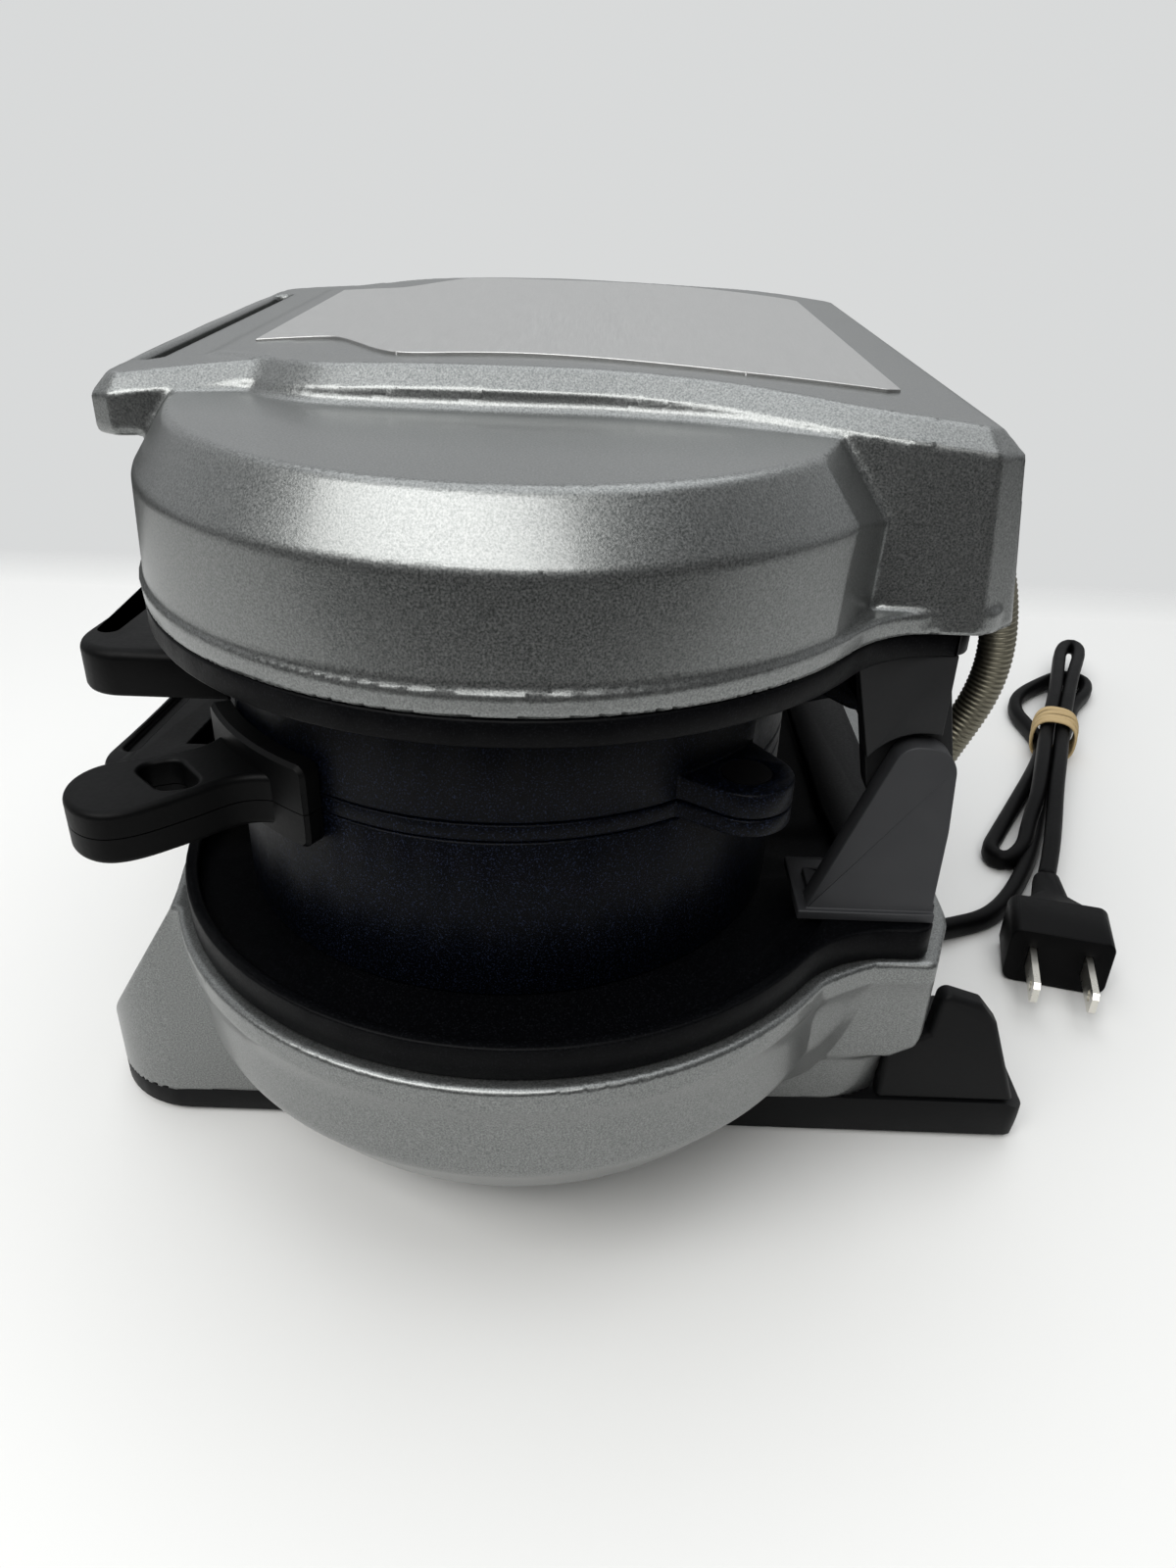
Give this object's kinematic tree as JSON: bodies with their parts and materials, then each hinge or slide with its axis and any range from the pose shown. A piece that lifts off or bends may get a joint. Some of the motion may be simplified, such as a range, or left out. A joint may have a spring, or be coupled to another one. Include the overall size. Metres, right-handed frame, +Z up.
{
  "type": "twin breakfast sandwich maker",
  "caption": "Hinged countertop cooker with paired round lobes, stacked cooking rings, swing-out cooking plates and a sloping control front.",
  "frame": {"origin": "under the middle of the closed appliance, on the table, the cord not counted", "axes": "+X across the two cooking lobes to the user's right, -Y towards the user and the handles, +Y towards the hinge, +Z up"},
  "size_m": [0.3264, 0.3256, 0.1605],
  "materials": {
    "silver_paint": "satin metallic paint",
    "brushed_inlay": "brushed",
    "black_plastic": "matte",
    "handle_plastic": "fine matte",
    "nonstick": "satin non-stick coating",
    "ring_coating": "speckled dark blue-black coating",
    "hinge_metal": "satin dark grey",
    "steel": "plain",
    "conduit_steel": "ribbed",
    "element": "dull sheath",
    "rubber_foot": "matte",
    "ceramic_white": "plain",
    "lens_red": "clear red",
    "lens_green": "clear green",
    "lamp_glass": "clear",
    "cord_pvc": "satin",
    "band_rubber": "matte",
    "nickel": "plated"
  },
  "bodies": {
    "base": {"lower_housing": "silver_paint", "base_plate": "black_plastic", "rear_feet": "black_plastic", "rubber_feet": "rubber_foot", "base_screws": "steel", "lower_heating_plate": "nonstick", "lower_elements": "element", "thermostat": "steel", "thermal_fuse": "steel", "terminal_block": "ceramic_white", "timer_body": "black_plastic", "power_lens": "lens_red", "preheat_lens": "lens_green", "lamp_tubes": "lamp_glass", "hinge_bracket_right": "hinge_metal", "hinge_bracket_left": "hinge_metal", "bracket_screws": "steel", "hinge_rod": "steel", "cord_gland": "black_plastic", "conduit_ferrule_lower": "black_plastic", "conduit": "conduit_steel", "mains_cord": "cord_pvc", "plug_lead": "cord_pvc", "cord_hank": "cord_pvc", "cord_band": "band_rubber", "plug_body": "cord_pvc", "plug_blades": "nickel"},
    "timer": {"timer_shaft": "steel", "timer_knob": "black_plastic"},
    "cover": {"cover_housing": "silver_paint", "cover_panel": "brushed_inlay", "upper_heating_plate": "nonstick", "upper_elements": "element", "hinge_arm_right": "hinge_metal", "hinge_arm_left": "hinge_metal", "cover_screws": "steel", "conduit_ferrule_upper": "black_plastic"},
    "lower_ring_set": {"lower_rings": "ring_coating", "lower_ring_handle": "handle_plastic", "lower_handle_screws": "steel"},
    "upper_ring_set": {"upper_rings": "ring_coating", "upper_ring_handle": "handle_plastic", "upper_handle_screws": "steel", "pivot_rivet_right": "steel", "pivot_rivet_left": "steel"},
    "cooking_right": {"cooking_plate_right": "ring_coating", "cook_handle_top_right": "handle_plastic", "cook_handle_bottom_right": "handle_plastic", "cook_handle_screws_right": "steel"},
    "cooking_left": {"cooking_plate_left": "ring_coating", "cook_handle_top_left": "handle_plastic", "cook_handle_bottom_left": "handle_plastic", "cook_handle_screws_left": "steel"}
  },
  "joints": [
    {"name": "cover_hinge", "type": "hinge", "parent": "base", "child": "cover", "pos_m": [0, 0.06584, 0.092], "axis": [-1, 0, 0], "range_deg": [0, 105], "deforming": ["conduit"]},
    {"name": "upper_rings_lift", "type": "hinge", "parent": "base", "child": "upper_ring_set", "pos_m": [0, 0.06584, 0.092], "axis": [-1, 0, 0], "range_deg": [0, 70]},
    {"name": "lower_rings_lift", "type": "hinge", "parent": "base", "child": "lower_ring_set", "pos_m": [0, 0.06584, 0.092], "axis": [-1, 0, 0], "range_deg": [0, 35]},
    {"name": "cooking_plate_right_swing", "type": "hinge", "parent": "upper_ring_set", "child": "cooking_right", "pos_m": [0.1, 0.03284, 0.0955], "axis": [0, 0, 1], "range_deg": [0, 115]},
    {"name": "cooking_plate_left_swing", "type": "hinge", "parent": "upper_ring_set", "child": "cooking_left", "pos_m": [-0.1, 0.03284, 0.0955], "axis": [0, 0, -1], "range_deg": [0, 115]},
    {"name": "timer_turn", "type": "hinge", "parent": "base", "child": "timer", "pos_m": [0, -0.09059, 0.033], "axis": [0, 0.8581, -0.5136], "range_deg": [0, 300]}
  ],
  "couplings": [
    {"joint": "upper_rings_lift", "follows": "cover_hinge", "ratio": 0.66667},
    {"joint": "lower_rings_lift", "follows": "cover_hinge", "ratio": 0.33333}
  ]
}
